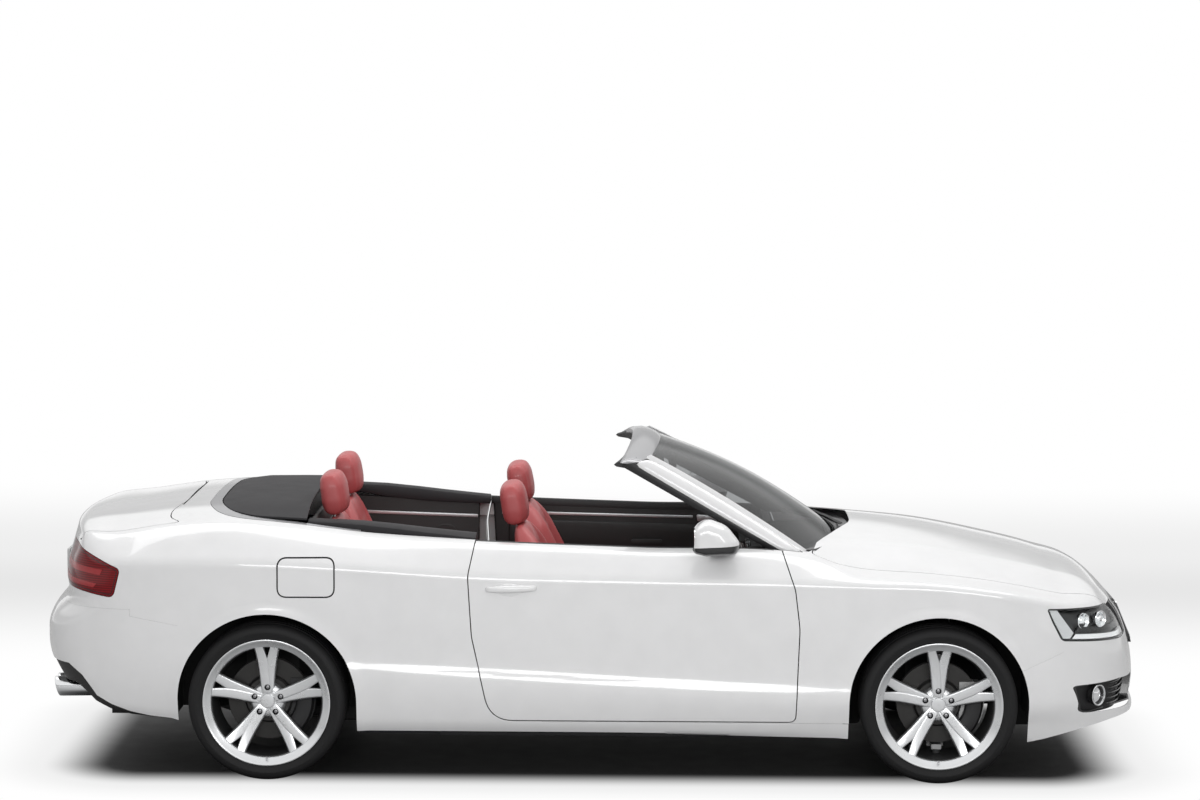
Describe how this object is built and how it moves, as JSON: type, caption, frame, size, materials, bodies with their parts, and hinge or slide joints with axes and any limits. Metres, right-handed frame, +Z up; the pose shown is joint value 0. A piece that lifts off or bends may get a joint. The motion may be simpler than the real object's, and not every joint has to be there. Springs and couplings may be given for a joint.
{
  "type": "convertible car",
  "caption": "Open two-door four-seat car with its soft top stowed: turning wheels, steering, doors, hood, trunk lid, top cover and fuel flap that open.",
  "frame": {"origin": "on the ground, in the middle of the car's length and width", "axes": "+X to the front of the car, +Y to its left, +Z up"},
  "size_m": [4.6231, 2.02, 1.366],
  "materials": {
    "body_paint": "gloss white paint over a smooth clear coat",
    "tyre_rubber": "black tread rubber",
    "wheel_alloy": "silver lacquered alloy",
    "brake_iron": "turned brake disc",
    "black_plastic": "grained black plastic",
    "lamp_clear": "clear lens over a bright reflector",
    "lamp_red": "dark red lens",
    "screen_glass": "clear laminated glass",
    "cabin_plastic": "soft black moulding",
    "seat_leather": "coral red grained leather",
    "cover_grey": "charcoal trim with a fine grain",
    "exhaust_steel": "bright tail pipes on stainless pipe",
    "bare_metal": "dark underbody coating"
  },
  "bodies": {
    "chassis": {"arch_liners": "black_plastic", "cockpit_trim": "cabin_plastic", "cowl_panel": "black_plastic", "dashboard": "cabin_plastic", "diffuser": "black_plastic", "engine_block": "bare_metal", "exhaust": "exhaust_steel", "fender_left": "body_paint", "fender_right": "body_paint", "floor_pan": "bare_metal", "front_bumper": "body_paint", "front_frame": "bare_metal", "front_seat_left": "seat_leather", "front_seat_right": "seat_leather", "front_struts": "bare_metal", "front_subframe": "bare_metal", "grille": "black_plastic", "headlamps": "lamp_clear", "luggage_tub": "bare_metal", "radiator": "bare_metal", "rear_bumper": "body_paint", "rear_deck": "body_paint", "rear_seat": "seat_leather", "rear_subframe": "bare_metal", "side_panel_left": "body_paint", "side_panel_right": "body_paint", "taillamps": "lamp_red", "windscreen_frame": "body_paint", "windscreen_glass": "screen_glass"},
    "door_left": {"door_left": "body_paint", "mirror_left": "body_paint"},
    "knuckle_left": {"front_knuckle_left": "bare_metal"},
    "wheel_front_left": {"tyre_front_left": "tyre_rubber", "rim_front_left": "wheel_alloy", "disc_front_left": "brake_iron"},
    "wheel_rear_left": {"tyre_rear_left": "tyre_rubber", "rim_rear_left": "wheel_alloy", "disc_rear_left": "brake_iron"},
    "door_right": {"door_right": "body_paint", "mirror_right": "body_paint"},
    "knuckle_right": {"front_knuckle_right": "bare_metal"},
    "wheel_front_right": {"tyre_front_right": "tyre_rubber", "rim_front_right": "wheel_alloy", "disc_front_right": "brake_iron"},
    "wheel_rear_right": {"tyre_rear_right": "tyre_rubber", "rim_rear_right": "wheel_alloy", "disc_rear_right": "brake_iron"},
    "hood": {"hood": "body_paint"},
    "trunk_lid": {"trunk_lid": "body_paint"},
    "top_cover": {"top_cover": "cover_grey"},
    "fuel_flap": {"fuel_flap": "body_paint"},
    "steering_wheel": {"steering_wheel": "cabin_plastic"}
  },
  "joints": [
    {"name": "steer_left", "type": "hinge", "parent": "chassis", "child": "knuckle_left", "pos_m": [1.4235, 0.775, 0.323], "axis": [0, 0, 1], "range_deg": [-33, 33]},
    {"name": "steer_right", "type": "hinge", "parent": "chassis", "child": "knuckle_right", "pos_m": [1.4235, -0.775, 0.323], "axis": [0, 0, 1], "range_deg": [-33, 33]},
    {"name": "steering_wheel_turn", "type": "hinge", "parent": "chassis", "child": "steering_wheel", "pos_m": [0.5735, 0.37, 0.8], "axis": [-0.9272, 0, 0.3746], "range_deg": [-462, 462]},
    {"name": "roll_front_left", "type": "hinge", "parent": "knuckle_left", "child": "wheel_front_left", "pos_m": [1.4235, 0.795, 0.323], "axis": [0, 1, 0], "continuous": true},
    {"name": "roll_rear_left", "type": "hinge", "parent": "chassis", "child": "wheel_rear_left", "pos_m": [-1.3275, 0.795, 0.323], "axis": [0, 1, 0], "continuous": true},
    {"name": "roll_front_right", "type": "hinge", "parent": "knuckle_right", "child": "wheel_front_right", "pos_m": [1.4235, -0.795, 0.323], "axis": [0, 1, 0], "continuous": true},
    {"name": "roll_rear_right", "type": "hinge", "parent": "chassis", "child": "wheel_rear_right", "pos_m": [-1.3275, -0.795, 0.323], "axis": [0, 1, 0], "continuous": true},
    {"name": "door_right_swing", "type": "hinge", "parent": "chassis", "child": "door_right", "pos_m": [0.7925, -0.892, 0.55], "axis": [0, 0, 1], "range_deg": [0, 62]},
    {"name": "door_left_swing", "type": "hinge", "parent": "chassis", "child": "door_left", "pos_m": [0.7925, 0.892, 0.55], "axis": [0, 0, -1], "range_deg": [0, 62]},
    {"name": "hood_lift", "type": "hinge", "parent": "chassis", "child": "hood", "pos_m": [0.9235, 0, 0.925], "axis": [0, -1, 0], "range_deg": [0, 45]},
    {"name": "trunk_lift", "type": "hinge", "parent": "chassis", "child": "trunk_lid", "pos_m": [-1.7225, 0, 1.079], "axis": [0, 1, 0], "range_deg": [0, 70]},
    {"name": "cover_lift", "type": "hinge", "parent": "chassis", "child": "top_cover", "pos_m": [-1.5875, 0, 1.079], "axis": [0, -1, 0], "range_deg": [0, 60]},
    {"name": "flap_swing", "type": "hinge", "parent": "chassis", "child": "fuel_flap", "pos_m": [-1.0515, -0.9176, 0.8415], "axis": [0, 0, 1], "range_deg": [0, 80]}
  ],
  "couplings": [
    {"joint": "steer_right", "follows": "steer_left", "ratio": 1},
    {"joint": "steering_wheel_turn", "follows": "steer_left", "ratio": 14}
  ]
}
